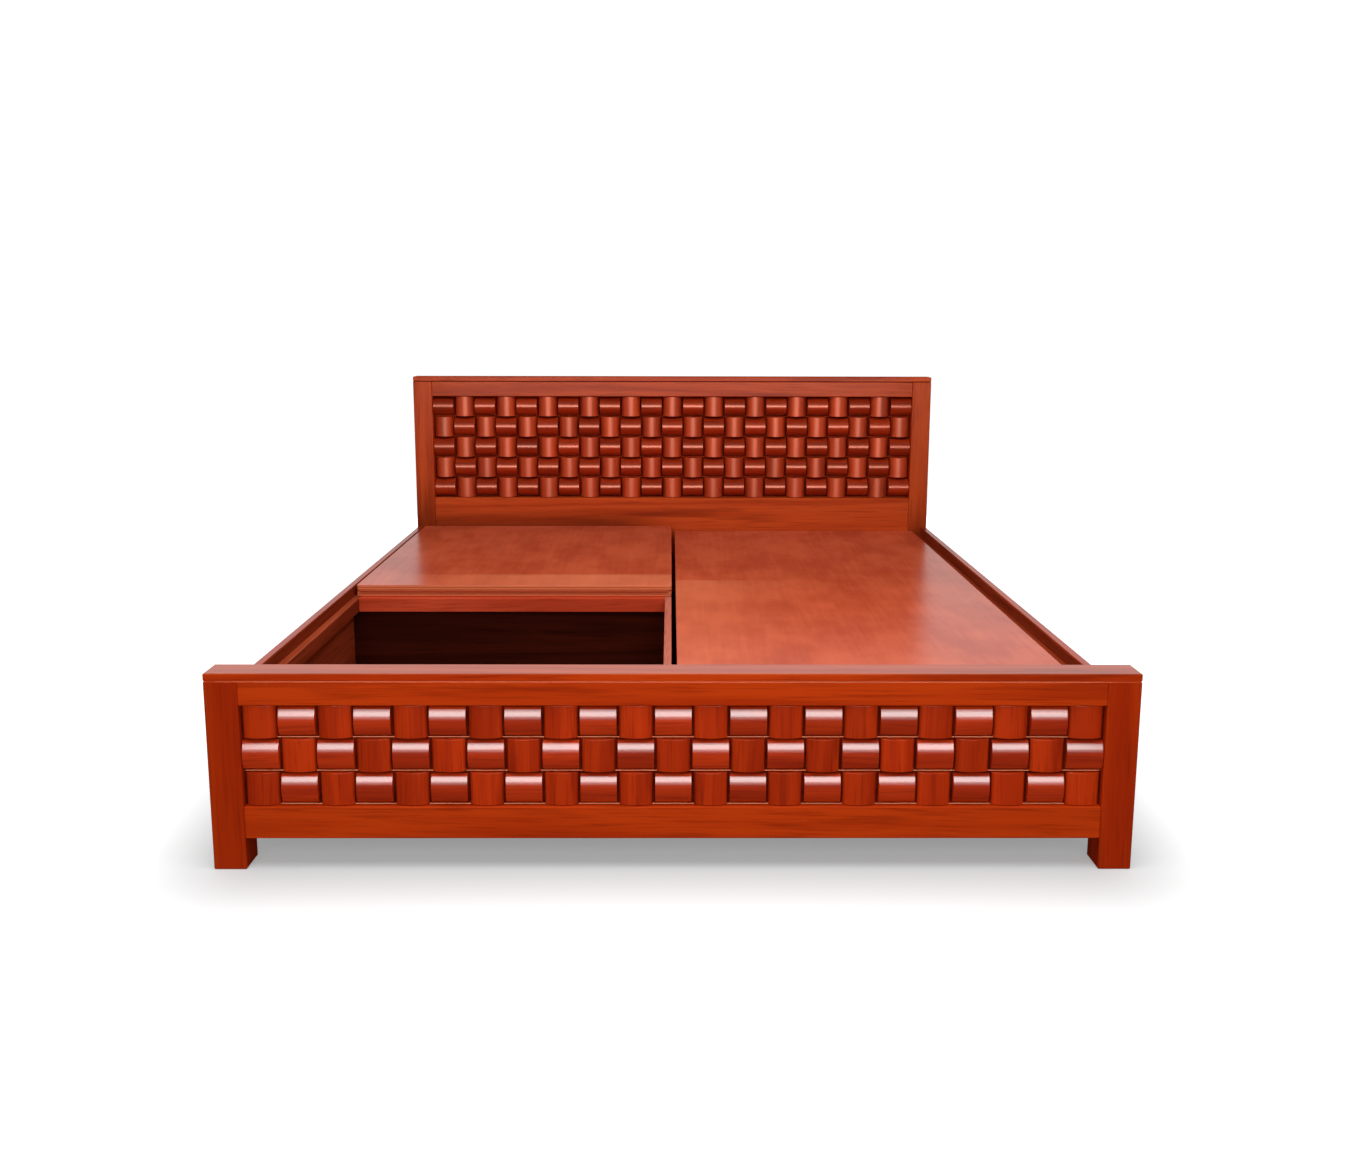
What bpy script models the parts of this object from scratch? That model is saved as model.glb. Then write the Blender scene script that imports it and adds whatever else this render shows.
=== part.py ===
"""King-size storage bed with basket-woven head and foot ends and a folding lid.

All lengths are in metres. +Z is up, +Y runs from the foot end to the head end and +X is
to the right for someone who stands at the foot end. The origin is on the floor, in the
middle of the bed. The left-hand lid is modelled folded back, as it is when the bed's
foot compartment is being filled.
"""

import math

import bmesh
import bpy
from mathutils import Matrix, Vector

# Overall sizes
BED_WIDTH = 1.905
BED_LENGTH = 2.132
HEAD_HEIGHT = 0.914
FOOT_HEIGHT = 0.421
POST = 0.068
FLOOR_GAP = 0.068

# End frames
CAP_THICK = 0.0165
FOOT_TOP_RAIL = 0.051
FOOT_BOTTOM_RAIL = 0.0693
HEAD_TOP_RAIL = 0.055
HEAD_LOWER_BOARD_TOP = 0.465
HEAD_LOWER_BOARD_THICK = 0.022
END_PANEL_THICK = 0.012
TENON_LENGTH = 0.030
TENON_THICK = 0.018
TENON_SHOULDER = 0.010
TONGUE_LENGTH = 0.014
TONGUE_THICK = 0.010
TONGUE_SHOULDER = 0.020

# Basket weave of half-round blocks
WEAVE_COLUMNS = 23
FOOT_WEAVE_ROWS = 3
HEAD_WEAVE_ROWS = 5
WEAVE_SET_BACK = 0.003
FOOT_WEAVE_RISE = 0.013
HEAD_WEAVE_RISE = 0.028
WEAVE_BACKING = 0.012
WEAVE_SIDE_MARGIN = 0.0042
WEAVE_END_MARGIN = 0.0010
WEAVE_ARC_STEPS = 8

# Box below the lids
SIDE_RAIL_TOP = 0.3545
SIDE_RAIL_THICK = 0.021
LEDGE_TOP = 0.325
CLEAT_WIDTH = 0.020
RIGHT_CLEAT_WIDTH = 0.042
CLEAT_HEIGHT = 0.040
BASE_CLEAT_WIDTH = 0.025
BASE_CLEAT_HEIGHT = 0.030
BASE_PANEL_THICK = 0.012
CENTRE_WALL_THICK = 0.019
CENTRE_SLOT = 0.013
CENTRE_SHIFT = 0.003
BEARER_WIDTH = 0.040
BEARER_HEIGHT = 0.040
CROSS_WALL_THICK = 0.012
BEAM_WIDTH = 0.060
BEAM_HEIGHT = 0.050
BEAM_LEG = 0.045
BEAM_LEG_SPACING = 0.620

# Lids
LID_THICK = 0.016
LID_END_GAP = 0.002
LID_LEFT_RAIL_GAP = 0.009
LID_RIGHT_RAIL_GAP = 0.032
LID_CENTRE_GAP = 0.012
LID_CORNER = 0.008
LID_CORNER_STEPS = 3
ROUND_PROFILE = 0.5

# Piano hinge of the folding lid
HINGE_END_GAP = 0.010
HINGE_KNUCKLES = 21
HINGE_KNUCKLE_GAP = 0.0008
HINGE_LEAF_WIDTH = 0.026
HINGE_LEAF_THICK = 0.0011
HINGE_PIN_RADIUS = 0.00125
HINGE_BORE_RADIUS = 0.0017
HINGE_AXIS_RISE = 0.0008
HINGE_CURL = math.radians(270)
HINGE_CURL_STEPS = 6

# Corner brackets and their coach screws
BRACKET_LEG = 0.040
BRACKET_HEIGHT = 0.080
BRACKET_THICK = 0.003
BRACKET_MIDDLE = 0.200
SCREW_OFFSET = 0.023
SCREW_RADIUS = 0.0035
SCREW_HEAD_ACROSS = 0.013
SCREW_HEAD_HEIGHT = 0.005
POST_SCREW_LENGTH = 0.045
RAIL_SCREW_LENGTH = 0.018
SCREW_POINT = 0.003

# Gaps and edges
FIT = 0.0003
EASE = 0.0020
LID_EASE = 0.0012
MOST_EASE_SHARE = 0.2
EASE_ANGLE = math.radians(50)
ROUND_SIDES = 12
EMPTY_SIZE = 0.05

# Places that follow from the sizes
HALF_WIDTH = BED_WIDTH / 2
HALF_LENGTH = BED_LENGTH / 2
POST_INNER_X = HALF_WIDTH - POST
INNER_Y = HALF_LENGTH - POST
RAIL_INNER_X = HALF_WIDTH - SIDE_RAIL_THICK
RAIL_DEPTH = POST - END_PANEL_THICK
FOOT_FACE = -HALF_LENGTH
HEAD_FACE = INNER_Y
FOOT_WEAVE_LOW = FLOOR_GAP + FOOT_BOTTOM_RAIL
FOOT_WEAVE_HIGH = FOOT_HEIGHT - CAP_THICK - FOOT_TOP_RAIL
HEAD_WEAVE_LOW = HEAD_LOWER_BOARD_TOP
HEAD_WEAVE_HIGH = HEAD_HEIGHT - CAP_THICK - HEAD_TOP_RAIL
CENTRE_LEFT = CENTRE_SHIFT - CENTRE_SLOT / 2
CENTRE_RIGHT = CENTRE_SHIFT + CENTRE_SLOT / 2
BASE_PANEL_LOW = FLOOR_GAP + BASE_CLEAT_HEIGHT + FIT
BASE_PANEL_TOP = BASE_PANEL_LOW + BASE_PANEL_THICK
BEARER_LOW = LEDGE_TOP - BEARER_HEIGHT
LID_LOW = LEDGE_TOP + FIT
LID_TOP = LID_LOW + LID_THICK
HINGE_OUTER_RADIUS = HINGE_BORE_RADIUS + HINGE_LEAF_THICK
HINGE_EDGE = HINGE_OUTER_RADIUS + 2 * FIT
HINGE_AXIS_Z = LID_TOP + HINGE_AXIS_RISE
LEFT_LID_LOW_X = -RAIL_INNER_X + LID_LEFT_RAIL_GAP
LEFT_LID_HIGH_X = CENTRE_SHIFT - LID_CENTRE_GAP / 2
RIGHT_LID_LOW_X = CENTRE_SHIFT + LID_CENTRE_GAP / 2
RIGHT_LID_HIGH_X = RAIL_INNER_X - LID_RIGHT_RAIL_GAP

for left_over in list(bpy.data.objects):
    bpy.data.objects.remove(left_over, do_unlink=True)


def finish(name, colour, roughness, metallic=0.0):
    """A plain Principled material in the piece's own colour."""
    made = bpy.data.materials.new(name)
    made.use_nodes = True
    shader = made.node_tree.nodes["Principled BSDF"]
    shader.inputs["Base Color"].default_value = (*colour, 1.0)
    shader.inputs["Roughness"].default_value = roughness
    shader.inputs["Metallic"].default_value = metallic
    return made


FRAME_WOOD = finish("stained_mahogany", (0.38, 0.045, 0.012), 0.30)
POST_WOOD = finish("dark_stained_mahogany", (0.27, 0.028, 0.010), 0.30)
WEAVE_WOOD = finish("lacquered_mahogany_blocks", (0.33, 0.035, 0.010), 0.22)
LID_BOARD = finish("lacquered_plywood", (0.40, 0.075, 0.030), 0.28)
BOX_BOARD = finish("stained_plywood", (0.24, 0.035, 0.014), 0.45)
HINGE_STEEL = finish("plated_hinge_steel", (0.55, 0.50, 0.42), 0.35, 1.0)
BRACKET_STEEL = finish("zinc_plated_steel", (0.60, 0.61, 0.63), 0.40, 1.0)


def group(name, place=(0.0, 0.0, 0.0)):
    """An empty that holds a sub-assembly and, for a moving one, marks its axis."""
    empty = bpy.data.objects.new(name, None)
    empty.location = place
    empty.empty_display_size = EMPTY_SIZE
    bpy.context.collection.objects.link(empty)
    return empty


FOOTBOARD = group("footboard")
HEADBOARD = group("headboard")
STORAGE_BOX = group("storage_box")
LEFT_LID_LIFT = group("left_lid_lift", (LEFT_LID_HIGH_X, 0.0, LID_LOW))
LEFT_LID_FOLD = group("left_lid_fold", (LEFT_LID_HIGH_X, 0.0, HINGE_AXIS_Z))
RIGHT_LID_LIFT = group("right_lid_lift", (RIGHT_LID_LOW_X, 0.0, LID_LOW))


def add_object(name, bm, parent, place):
    """Links a finished bmesh as an object at a world place below its empty."""
    mesh = bpy.data.meshes.new(name)
    bm.to_mesh(mesh)
    bm.free()
    obj = bpy.data.objects.new(name, mesh)
    obj.parent = parent
    obj.location = Vector(place) - parent.location
    bpy.context.collection.objects.link(obj)
    return obj


def block_mesh(low, high):
    """A bmesh box of this size, centred on its own origin."""
    bm = bmesh.new()
    bmesh.ops.create_cube(bm, size=1.0)
    bmesh.ops.scale(bm, vec=Vector(high) - Vector(low), verts=bm.verts)
    return bm


def middle(low, high):
    return (Vector(low) + Vector(high)) / 2


def ease_edges(obj, width, low, high):
    """Rounds over the sharp edges a little, and less on a thin piece."""
    thinnest = min(Vector(high) - Vector(low))
    ease = obj.modifiers.new("eased_edges", "BEVEL")
    ease.width = min(width, MOST_EASE_SHARE * thinnest)
    ease.segments = 1
    ease.limit_method = "ANGLE"
    ease.angle_limit = EASE_ANGLE


def board(name, low, high, material, parent, ease=EASE):
    """A straight piece of wood between two corners, with eased edges."""
    obj = add_object(name, block_mesh(low, high), parent, middle(low, high))
    obj.data.materials.append(material)
    if ease:
        ease_edges(obj, ease, low, high)
    return obj


def helper(name, bm, parent, place):
    """A shape that only cuts or joins another one."""
    obj = add_object(name, bm, parent, place)
    obj.hide_render = True
    obj.display_type = "WIRE"
    return obj


def combine(obj, tool, operation):
    step = obj.modifiers.new(tool.name, "BOOLEAN")
    step.operation = operation
    step.solver = "EXACT"
    step.object = tool


def cut_box(obj, label, low, high):
    tool = helper(f"{obj.name}_{label}_cut", block_mesh(low, high), obj.parent, middle(low, high))
    combine(obj, tool, "DIFFERENCE")


def join_box(obj, label, low, high):
    tool = helper(f"{obj.name}_{label}_join", block_mesh(low, high), obj.parent, middle(low, high))
    combine(obj, tool, "UNION")


def cut_hole(obj, label, start, along, radius, length):
    """A round hole from start in the direction along."""
    bm = bmesh.new()
    bmesh.ops.create_cone(
        bm, cap_ends=True, segments=ROUND_SIDES, radius1=radius, radius2=radius, depth=length
    )
    turn = Vector((0, 0, 1)).rotation_difference(Vector(along)).to_matrix()
    bmesh.ops.rotate(bm, matrix=turn, verts=bm.verts)
    place = Vector(start) + Vector(along) * length / 2
    combine(obj, helper(f"{obj.name}_{label}_hole", bm, obj.parent, place), "DIFFERENCE")


# End frames: posts, rails, caps and panels

def tenon_span(low_z, high_z, shoulder):
    return low_z + shoulder, high_z - shoulder


def tenoned_rail(name, low_z, high_z, face, depth, parent, stub):
    """A rail between the posts of an end, with a stub tenon at each end.

    stub is the tenon's length, thickness and shoulder.
    """
    length, thick, shoulder = stub
    end = POST_INNER_X - FIT
    rail = board(name, (-end, face, low_z), (end, face + depth, high_z), FRAME_WOOD, parent)
    centre = face + depth / 2
    low_t, high_t = tenon_span(low_z, high_z, shoulder)
    root = end - length
    tip = POST_INNER_X + length - FIT
    for label, inner, outer in (("left", -tip, -root), ("right", root, tip)):
        join_box(
            rail,
            label,
            (inner, centre - thick / 2, low_t),
            (outer, centre + thick / 2, high_t),
        )
    return rail


def mortise(post, label, side, low_z, high_z, face, depth, stub):
    """The pocket in a post for one tenon, a fit wider all round."""
    length, thick, shoulder = stub
    centre = face + depth / 2
    low_t, high_t = tenon_span(low_z, high_z, shoulder)
    ends = sorted((side * (POST_INNER_X - length), side * (POST_INNER_X + length)))
    cut_box(
        post,
        label,
        (ends[0], centre - thick / 2 - FIT, low_t - FIT),
        (ends[1], centre + thick / 2 + FIT, high_t + FIT),
    )


RAIL_STUB = (TENON_LENGTH, TENON_THICK, TENON_SHOULDER)
BOARD_STUB = (TONGUE_LENGTH, TONGUE_THICK, TONGUE_SHOULDER)
SIDES = (("left", -1), ("right", 1))

FOOT_RAILS = (
    ("foot_top_rail", FOOT_WEAVE_HIGH, FOOT_HEIGHT - CAP_THICK - FIT, RAIL_DEPTH, RAIL_STUB),
    ("foot_bottom_rail", FLOOR_GAP, FOOT_WEAVE_LOW, RAIL_DEPTH, RAIL_STUB),
)
HEAD_RAILS = (
    ("head_top_rail", HEAD_WEAVE_HIGH, HEAD_HEIGHT - CAP_THICK - FIT, RAIL_DEPTH, RAIL_STUB),
    ("head_lower_board", FLOOR_GAP, HEAD_WEAVE_LOW, HEAD_LOWER_BOARD_THICK, BOARD_STUB),
)


def end_frame(label, height, face, rails, parent):
    """Two posts, the rails between them, the cap on top and the panel behind."""
    top = height - CAP_THICK
    posts = {}
    for side_name, side in SIDES:
        xs = sorted((side * POST_INNER_X, side * HALF_WIDTH))
        post = board(
            f"{label}_post_{side_name}",
            (xs[0], face, 0.0),
            (xs[1], face + POST, top - FIT),
            POST_WOOD,
            parent,
        )
        for name, low_z, high_z, depth, stub in rails:
            mortise(post, name, side, low_z, high_z, face, depth, stub)
        posts[side_name] = post
    for name, low_z, high_z, depth, stub in rails:
        tenoned_rail(name, low_z, high_z, face, depth, parent, stub)
    board(
        f"{label}_cap",
        (-HALF_WIDTH, face, top),
        (HALF_WIDTH, face + POST, height),
        FRAME_WOOD,
        parent,
    )
    board(
        f"{label}_back_panel",
        (-POST_INNER_X + FIT, face + RAIL_DEPTH + FIT, FLOOR_GAP),
        (POST_INNER_X - FIT, face + POST, top - FIT),
        BOX_BOARD,
        parent,
        ease=LID_EASE,
    )
    return posts


FOOT_POSTS = end_frame("foot", FOOT_HEIGHT, FOOT_FACE, FOOT_RAILS, FOOTBOARD)
HEAD_POSTS = end_frame("head", HEAD_HEIGHT, HEAD_FACE, HEAD_RAILS, HEADBOARD)


# Basket weave rows

def arc_points(chord, rise, steps):
    """Points of a shallow arch between its ends: distance along the chord and height over it."""
    radius = (chord * chord / 4 + rise * rise) / (2 * rise)
    half_turn = math.asin(min(1.0, chord / 2 / radius))
    if rise > chord / 2:
        half_turn = math.pi - half_turn
    points = []
    for step in range(1, steps):
        turn = half_turn * (2 * step / steps - 1)
        across = chord / 2 + radius * math.sin(turn)
        height = radius * math.cos(turn) - (radius - rise)
        points.append((across, height))
    return points


def block_foot(bm, cell, upright):
    """The corners of a block in its cell: a wide margin beside its round, a narrow one at its ends."""
    margin_x, margin_z = WEAVE_END_MARGIN, WEAVE_SIDE_MARGIN
    if upright:
        margin_x, margin_z = WEAVE_SIDE_MARGIN, WEAVE_END_MARGIN
    inward = ((1, 1), (-1, 1), (-1, -1), (1, -1))
    foot = []
    for corner, (sign_x, sign_z) in zip(cell, inward):
        foot.append(bm.verts.new(corner.co + Vector((sign_x * margin_x, 0.0, sign_z * margin_z))))
    return foot


def weave_block(bm, foot, rise, upright):
    """One half-round block on its four footprint corners.

    foot holds the corners at low x low z, high x low z, high x high z and low x high z.
    An upright block is round about the vertical, the other kind about the horizontal.
    """
    low_low, high_low, high_high, low_high = foot
    if upright:
        ends = ((low_low, high_low), (low_high, high_high))
    else:
        ends = ((low_low, low_high), (high_low, high_high))
    rings = []
    for start, stop in ends:
        chord = (stop.co - start.co).length
        direction = (stop.co - start.co).normalized()
        ring = [start]
        for across, height in arc_points(chord, rise, WEAVE_ARC_STEPS):
            ring.append(bm.verts.new(start.co + direction * across - Vector((0.0, height, 0.0))))
        ring.append(stop)
        rings.append(ring)
    first, second = rings
    for step in range(WEAVE_ARC_STEPS):
        bm.faces.new((first[step], second[step], second[step + 1], first[step + 1]))
    bm.faces.new(first)
    bm.faces.new(second)


def weave_row(name, low_z, high_z, face, rise, first_upright, parent):
    """A backing strip across the opening with its row of alternating blocks."""
    bm = bmesh.new()
    half = POST_INNER_X - FIT
    front_y = face + WEAVE_SET_BACK + rise
    back_y = front_y + WEAVE_BACKING
    pitch = 2 * half / WEAVE_COLUMNS
    stations = [-half + column * pitch for column in range(WEAVE_COLUMNS + 1)]
    lower = [bm.verts.new((x, front_y, low_z)) for x in stations]
    upper = [bm.verts.new((x, front_y, high_z)) for x in stations]
    back_low = [bm.verts.new((x, back_y, low_z)) for x in (-half, half)]
    back_high = [bm.verts.new((x, back_y, high_z)) for x in (-half, half)]
    for column in range(WEAVE_COLUMNS):
        upright = (column % 2 == 0) == first_upright
        cell = (lower[column], lower[column + 1], upper[column + 1], upper[column])
        foot = block_foot(bm, cell, upright)
        for corner in range(len(cell)):
            bm.faces.new((cell[corner - 1], cell[corner], foot[corner], foot[corner - 1]))
        weave_block(bm, foot, rise, upright)
    bm.faces.new((*lower, back_low[1], back_low[0]))
    bm.faces.new((*upper, back_high[1], back_high[0]))
    bm.faces.new((lower[0], upper[0], back_high[0], back_low[0]))
    bm.faces.new((lower[-1], upper[-1], back_high[1], back_low[1]))
    bm.faces.new((back_low[0], back_low[1], back_high[1], back_high[0]))
    bmesh.ops.recalc_face_normals(bm, faces=bm.faces)
    row = add_object(name, bm, parent, (0.0, 0.0, 0.0))
    row.data.materials.append(WEAVE_WOOD)
    return row


def weave(label, rows, low_z, high_z, face, rise, first_upright, parent):
    """The rows of one end, numbered from the top; each row starts with the other block."""
    height = (high_z - low_z) / rows
    for row in range(rows):
        top = high_z - row * height
        weave_row(
            f"{label}_weave_row_{row + 1}",
            top - height + FIT,
            top - FIT,
            face,
            rise,
            first_upright if row % 2 == 0 else not first_upright,
            parent,
        )


weave(
    "foot",
    FOOT_WEAVE_ROWS,
    FOOT_WEAVE_LOW,
    FOOT_WEAVE_HIGH,
    FOOT_FACE,
    FOOT_WEAVE_RISE,
    True,
    FOOTBOARD,
)
weave(
    "head",
    HEAD_WEAVE_ROWS,
    HEAD_WEAVE_LOW,
    HEAD_WEAVE_HIGH,
    HEAD_FACE,
    HEAD_WEAVE_RISE,
    False,
    HEADBOARD,
)


# Side rails, cleats and the box

def mirrored(side, inner, outer):
    """The two x values of a piece on this side, lowest first."""
    return sorted((side * inner, side * outer))


SIDE_RAILS = {}
RUN = INNER_Y - FIT
CENTRE_FACES = {"left": -(CENTRE_LEFT - CENTRE_WALL_THICK), "right": CENTRE_RIGHT + CENTRE_WALL_THICK}
CLEAT_WIDTHS = {"left": CLEAT_WIDTH, "right": RIGHT_CLEAT_WIDTH}

for side_name, side in SIDES:
    rail_x = mirrored(side, RAIL_INNER_X, HALF_WIDTH)
    SIDE_RAILS[side_name] = board(
        f"side_rail_{side_name}",
        (rail_x[0], -RUN, FLOOR_GAP),
        (rail_x[1], RUN, SIDE_RAIL_TOP),
        FRAME_WOOD,
        STORAGE_BOX,
    )
    cleat_face = RAIL_INNER_X - FIT - CLEAT_WIDTHS[side_name]
    cleat_x = mirrored(side, cleat_face, RAIL_INNER_X - FIT)
    board(
        f"side_cleat_{side_name}",
        (cleat_x[0], -RUN, LEDGE_TOP - CLEAT_HEIGHT),
        (cleat_x[1], RUN, LEDGE_TOP),
        FRAME_WOOD,
        STORAGE_BOX,
        ease=LID_EASE,
    )
    base_x = mirrored(side, RAIL_INNER_X - FIT - BASE_CLEAT_WIDTH, RAIL_INNER_X - FIT)
    board(
        f"base_cleat_{side_name}",
        (base_x[0], -RUN, FLOOR_GAP),
        (base_x[1], RUN, FLOOR_GAP + BASE_CLEAT_HEIGHT),
        BOX_BOARD,
        STORAGE_BOX,
        ease=LID_EASE,
    )
    panel_x = mirrored(side, side * CENTRE_SHIFT + FIT, RAIL_INNER_X - FIT)
    board(
        f"base_panel_{side_name}",
        (panel_x[0], -RUN, BASE_PANEL_LOW),
        (panel_x[1], RUN, BASE_PANEL_TOP),
        BOX_BOARD,
        STORAGE_BOX,
        ease=0,
    )
    centre_face = CENTRE_FACES[side_name]
    wall_x = mirrored(side, centre_face - CENTRE_WALL_THICK, centre_face)
    board(
        f"centre_wall_{side_name}",
        (wall_x[0], -RUN, BASE_PANEL_TOP + FIT),
        (wall_x[1], RUN, LEDGE_TOP),
        FRAME_WOOD,
        STORAGE_BOX,
        ease=LID_EASE,
    )
    span_x = mirrored(side, centre_face + FIT, cleat_face - FIT)
    board(
        f"cross_bearer_{side_name}",
        (span_x[0], -BEARER_WIDTH / 2, BEARER_LOW),
        (span_x[1], BEARER_WIDTH / 2, LEDGE_TOP),
        FRAME_WOOD,
        STORAGE_BOX,
        ease=LID_EASE,
    )
    cross_top = min(BEARER_LOW, LEDGE_TOP - CLEAT_HEIGHT) - FIT
    cross_x = mirrored(side, centre_face + FIT, RAIL_INNER_X - FIT)
    board(
        f"cross_wall_{side_name}",
        (cross_x[0], -CROSS_WALL_THICK / 2, BASE_PANEL_TOP + FIT),
        (cross_x[1], CROSS_WALL_THICK / 2, cross_top),
        BOX_BOARD,
        STORAGE_BOX,
        ease=0,
    )
    for end_name, low_y in (("foot", -RUN), ("head", RUN - CLEAT_WIDTH)):
        board(
            f"{end_name}_cleat_{side_name}",
            (span_x[0], low_y, LEDGE_TOP - CLEAT_HEIGHT),
            (span_x[1], low_y + CLEAT_WIDTH, LEDGE_TOP),
            FRAME_WOOD,
            STORAGE_BOX,
            ease=LID_EASE,
        )

BEAM_TOP = BASE_PANEL_LOW - FIT
BEAM_LOW = BEAM_TOP - BEAM_HEIGHT
board(
    "centre_beam",
    (CENTRE_SHIFT - BEAM_WIDTH / 2, -RUN, BEAM_LOW),
    (CENTRE_SHIFT + BEAM_WIDTH / 2, RUN, BEAM_TOP),
    BOX_BOARD,
    STORAGE_BOX,
)
for place_name, step in (("foot", -1), ("middle", 0), ("head", 1)):
    leg_y = step * BEAM_LEG_SPACING
    board(
        f"centre_leg_{place_name}",
        (CENTRE_SHIFT - BEAM_LEG / 2, leg_y - BEAM_LEG / 2, 0.0),
        (CENTRE_SHIFT + BEAM_LEG / 2, leg_y + BEAM_LEG / 2, BEAM_LOW - FIT),
        BOX_BOARD,
        STORAGE_BOX,
    )


# Corner brackets and coach screws

def hexagon_reach(turn):
    """How far the screw's hexagon head reaches from its axis in this direction."""
    sixth = math.radians(60)
    return SCREW_HEAD_ACROSS / 2 / math.cos(turn % sixth - sixth / 2)


def screw_mesh(length):
    """A coach screw along +Z: its point at the bottom, the head's seat at height 0."""
    turns = [2 * math.pi * index / ROUND_SIDES for index in range(ROUND_SIDES)]
    shank = [SCREW_RADIUS] * ROUND_SIDES
    point = [SCREW_RADIUS / 2] * ROUND_SIDES
    head = [hexagon_reach(turn) for turn in turns]
    levels = (
        (point, -length),
        (shank, SCREW_POINT - length),
        (shank, 0.0),
        (head, 0.0),
        (head, SCREW_HEAD_HEIGHT),
    )
    bm = bmesh.new()
    rings = []
    for radii, height in levels:
        ring = []
        for turn, radius in zip(turns, radii):
            ring.append(bm.verts.new((radius * math.cos(turn), radius * math.sin(turn), height)))
        rings.append(ring)
    for below, above in zip(rings, rings[1:]):
        for index in range(ROUND_SIDES):
            after = (index + 1) % ROUND_SIDES
            bm.faces.new((below[index], below[after], above[after], above[index]))
    bm.faces.new(list(reversed(rings[0])))
    bm.faces.new(rings[-1])
    bmesh.ops.recalc_face_normals(bm, faces=bm.faces)
    return bm


def coach_screw(name, seat, out, length, pieces):
    """A coach screw whose head seats at seat and stands out along out, with its holes."""
    obj = add_object(name, screw_mesh(length), STORAGE_BOX, seat)
    obj.data.materials.append(BRACKET_STEEL)
    obj.rotation_mode = "QUATERNION"
    obj.rotation_quaternion = Vector((0, 0, 1)).rotation_difference(Vector(out))
    inward = -Vector(out)
    start = Vector(seat) - inward * BRACKET_THICK
    for piece in pieces:
        cut_hole(piece, name, start, inward, SCREW_RADIUS + FIT, length + BRACKET_THICK + FIT)


def corner_bracket(end_name, end, side_name, side, post):
    """A steel angle in the corner between a side rail and a post."""
    corner_x = side * (RAIL_INNER_X - FIT)
    corner_y = end * (INNER_Y - FIT)
    low_z = BRACKET_MIDDLE - BRACKET_HEIGHT / 2
    high_z = BRACKET_MIDDLE + BRACKET_HEIGHT / 2
    name = f"{end_name}_bracket_{side_name}"

    def corners(reach_x, reach_y):
        xs = sorted((corner_x, corner_x - side * reach_x))
        ys = sorted((corner_y, corner_y - end * reach_y))
        return (xs[0], ys[0], low_z), (xs[1], ys[1], high_z)

    rail_leg = corners(BRACKET_THICK, BRACKET_LEG)
    bracket = board(name, *rail_leg, BRACKET_STEEL, STORAGE_BOX, ease=0)
    join_box(bracket, "post_leg", *corners(BRACKET_LEG, BRACKET_THICK))
    rail_seat = (
        corner_x - side * (BRACKET_THICK + FIT),
        corner_y - end * SCREW_OFFSET,
        BRACKET_MIDDLE,
    )
    post_seat = (
        corner_x - side * SCREW_OFFSET,
        corner_y - end * (BRACKET_THICK + FIT),
        BRACKET_MIDDLE,
    )
    coach_screw(
        f"{end_name}_rail_screw_{side_name}",
        rail_seat,
        (-side, 0, 0),
        RAIL_SCREW_LENGTH,
        (bracket, SIDE_RAILS[side_name]),
    )
    coach_screw(
        f"{end_name}_post_screw_{side_name}",
        post_seat,
        (0, -end, 0),
        POST_SCREW_LENGTH,
        (bracket, post),
    )


for side_name, side in SIDES:
    corner_bracket("foot", -1, side_name, side, FOOT_POSTS[side_name])
    corner_bracket("head", 1, side_name, side, HEAD_POSTS[side_name])


# Lids and the piano hinge

def lid(name, low, high, parent):
    """A lid board with rounded corners and eased edges."""
    bm = block_mesh(low, high)
    upright = [e for e in bm.edges if (e.verts[0].co - e.verts[1].co).xy.length < FIT]
    bmesh.ops.bevel(
        bm,
        geom=upright,
        offset=LID_CORNER,
        offset_type="OFFSET",
        segments=LID_CORNER_STEPS,
        profile=ROUND_PROFILE,
        affect="EDGES",
    )
    obj = add_object(name, bm, parent, middle(low, high))
    obj.data.materials.append(LID_BOARD)
    ease_edges(obj, LID_EASE, low, high)
    return obj


HINGE_LOW_X = LEFT_LID_LOW_X + HINGE_END_GAP
HINGE_HIGH_X = LEFT_LID_HIGH_X - HINGE_END_GAP
LID_FAR_Y = INNER_Y - LID_END_GAP
FOLDED_LOW = 2 * HINGE_AXIS_Z - LID_TOP
HINGE_POCKET = HINGE_OUTER_RADIUS + FIT


def hinge_pocket(board_obj, low_z, high_z):
    """The shallow rebate that one hinge leaf lies in, along the fold edge."""
    cut_box(
        board_obj,
        "hinge",
        (HINGE_LOW_X - FIT, 0.0, low_z),
        (HINGE_HIGH_X + FIT, HINGE_LEAF_WIDTH + FIT, high_z),
    )


head_lid = lid(
    "left_head_lid",
    (LEFT_LID_LOW_X, HINGE_EDGE, LID_LOW),
    (LEFT_LID_HIGH_X, LID_FAR_Y, LID_TOP),
    LEFT_LID_LIFT,
)
hinge_pocket(head_lid, HINGE_AXIS_Z - HINGE_POCKET, HINGE_AXIS_Z)

foot_lid = lid(
    "left_foot_lid",
    (LEFT_LID_LOW_X, HINGE_EDGE, FOLDED_LOW),
    (LEFT_LID_HIGH_X, LID_FAR_Y, FOLDED_LOW + LID_THICK),
    LEFT_LID_FOLD,
)
hinge_pocket(foot_lid, HINGE_AXIS_Z, HINGE_AXIS_Z + HINGE_POCKET)

lid(
    "right_lid",
    (RIGHT_LID_LOW_X, -LID_FAR_Y, LID_LOW),
    (RIGHT_LID_HIGH_X, LID_FAR_Y, LID_TOP),
    RIGHT_LID_LIFT,
)


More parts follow.
